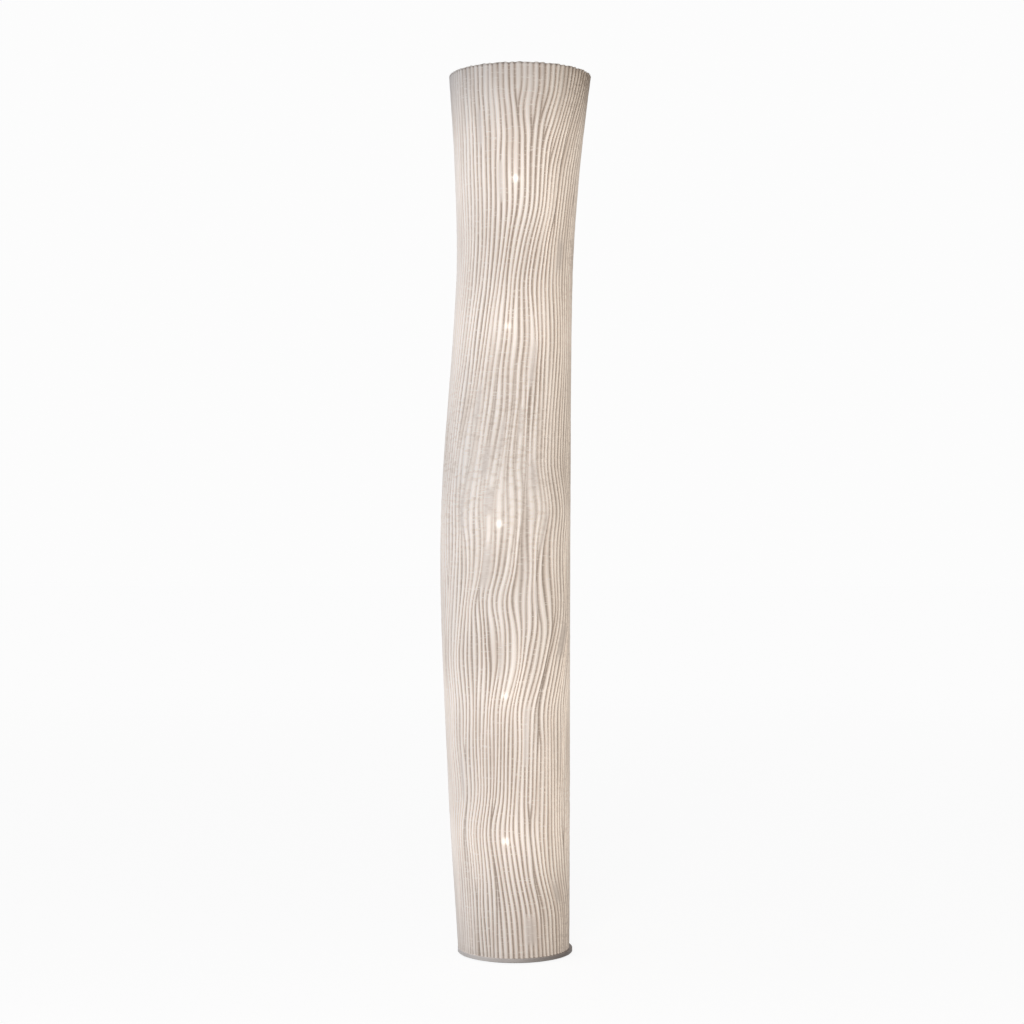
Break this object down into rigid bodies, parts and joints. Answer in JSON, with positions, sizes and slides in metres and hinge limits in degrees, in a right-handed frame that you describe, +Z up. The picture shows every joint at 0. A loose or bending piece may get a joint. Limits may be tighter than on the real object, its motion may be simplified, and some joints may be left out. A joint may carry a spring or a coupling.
{
  "type": "floor lamp",
  "caption": "Tall free-standing column lamp: a hand-pleated translucent cloth tube on a weighted round base, lit from inside by candle bulbs on a central mast.",
  "frame": {"origin": "on the floor, in the middle of the round base", "axes": "+Z up along the mast, -Y towards the viewer of the picture, +X to the viewer's right"},
  "size_m": [0.3012, 0.2838, 1.75],
  "materials": {
    "shade_cloth": "matte",
    "base_metal": "satin",
    "ballast_iron": "matte",
    "mast_paint": "satin",
    "wire_paint": "satin",
    "zinc_steel": "satin",
    "brass": "satin",
    "holder_plastic": "matte",
    "terminal_plastic": "matte",
    "cable_sleeve": "satin",
    "bulb_cap_metal": "satin",
    "bulb_glass": "gloss",
    "filament": "matte",
    "felt": "matte",
    "rubber": "matte"
  },
  "bodies": {
    "base": {"base_felt": "felt", "base_plate": "base_metal", "cord_grommet": "rubber", "ballast_disc": "ballast_iron", "ballast_screws": "zinc_steel", "terminal_block": "terminal_plastic", "terminal_screws": "brass", "wiring_loom": "cable_sleeve", "mast_foot": "mast_paint", "mast_foot_screws": "zinc_steel", "mast_set_screws": "zinc_steel", "mast_tube": "mast_paint", "mast_plug": "zinc_steel", "mast_stud": "zinc_steel", "shade_lugs": "zinc_steel", "lug_screws": "zinc_steel", "bracket_screws": "zinc_steel", "holder_nipples": "brass", "holder_locknuts": "brass", "holder_contacts": "brass", "lamp_bracket_1": "mast_paint", "lampholder_1": "holder_plastic", "lamp_lead_1": "cable_sleeve", "lamp_bracket_2": "mast_paint", "lampholder_2": "holder_plastic", "lamp_lead_2": "cable_sleeve", "lamp_bracket_3": "mast_paint", "lampholder_3": "holder_plastic", "lamp_lead_3": "cable_sleeve", "lamp_bracket_4": "mast_paint", "lampholder_4": "holder_plastic", "lamp_lead_4": "cable_sleeve", "lamp_bracket_5": "mast_paint", "lampholder_5": "holder_plastic", "lamp_lead_5": "cable_sleeve"},
    "shade": {"shade": "shade_cloth", "top_frame": "wire_paint", "bottom_ring": "wire_paint"},
    "finial": {"finial_nut": "zinc_steel"},
    "bulb_1": {"bulb_1_cap": "bulb_cap_metal", "bulb_1_glass": "bulb_glass", "bulb_1_filament": "filament"},
    "bulb_2": {"bulb_2_cap": "bulb_cap_metal", "bulb_2_glass": "bulb_glass", "bulb_2_filament": "filament"},
    "bulb_3": {"bulb_3_cap": "bulb_cap_metal", "bulb_3_glass": "bulb_glass", "bulb_3_filament": "filament"},
    "bulb_4": {"bulb_4_cap": "bulb_cap_metal", "bulb_4_glass": "bulb_glass", "bulb_4_filament": "filament"},
    "bulb_5": {"bulb_5_cap": "bulb_cap_metal", "bulb_5_glass": "bulb_glass", "bulb_5_filament": "filament"}
  },
  "joints": [
    {"name": "shade_lift", "type": "slide", "parent": "base", "child": "shade", "axis": [0, 0, 1], "range_m": [0, 1.72]},
    {"name": "finial_unscrew", "type": "hinge", "parent": "shade", "child": "finial", "pos_m": [0, 0, 1.704], "axis": [0, 0, 1], "range_deg": [0, 2160]},
    {"name": "bulb_1_unscrew", "type": "hinge", "parent": "base", "child": "bulb_1", "pos_m": [-0.0183, -0.04111, 0.22], "axis": [0, 0, 1], "range_deg": [0, 1260]},
    {"name": "bulb_2_unscrew", "type": "hinge", "parent": "base", "child": "bulb_2", "pos_m": [-0.01973, 0.04045, 0.51], "axis": [0, 0, 1], "range_deg": [0, 1260]},
    {"name": "bulb_3_unscrew", "type": "hinge", "parent": "base", "child": "bulb_3", "pos_m": [-0.03011, -0.03344, 0.855], "axis": [0, 0, 1], "range_deg": [0, 1260]},
    {"name": "bulb_4_unscrew", "type": "hinge", "parent": "base", "child": "bulb_4", "pos_m": [-0.01391, 0.0428, 1.25], "axis": [0, 0, 1], "range_deg": [0, 1260]},
    {"name": "bulb_5_unscrew", "type": "hinge", "parent": "base", "child": "bulb_5", "pos_m": [0.00157, -0.04497, 1.548], "axis": [0, 0, 1], "range_deg": [0, 1260]}
  ]
}
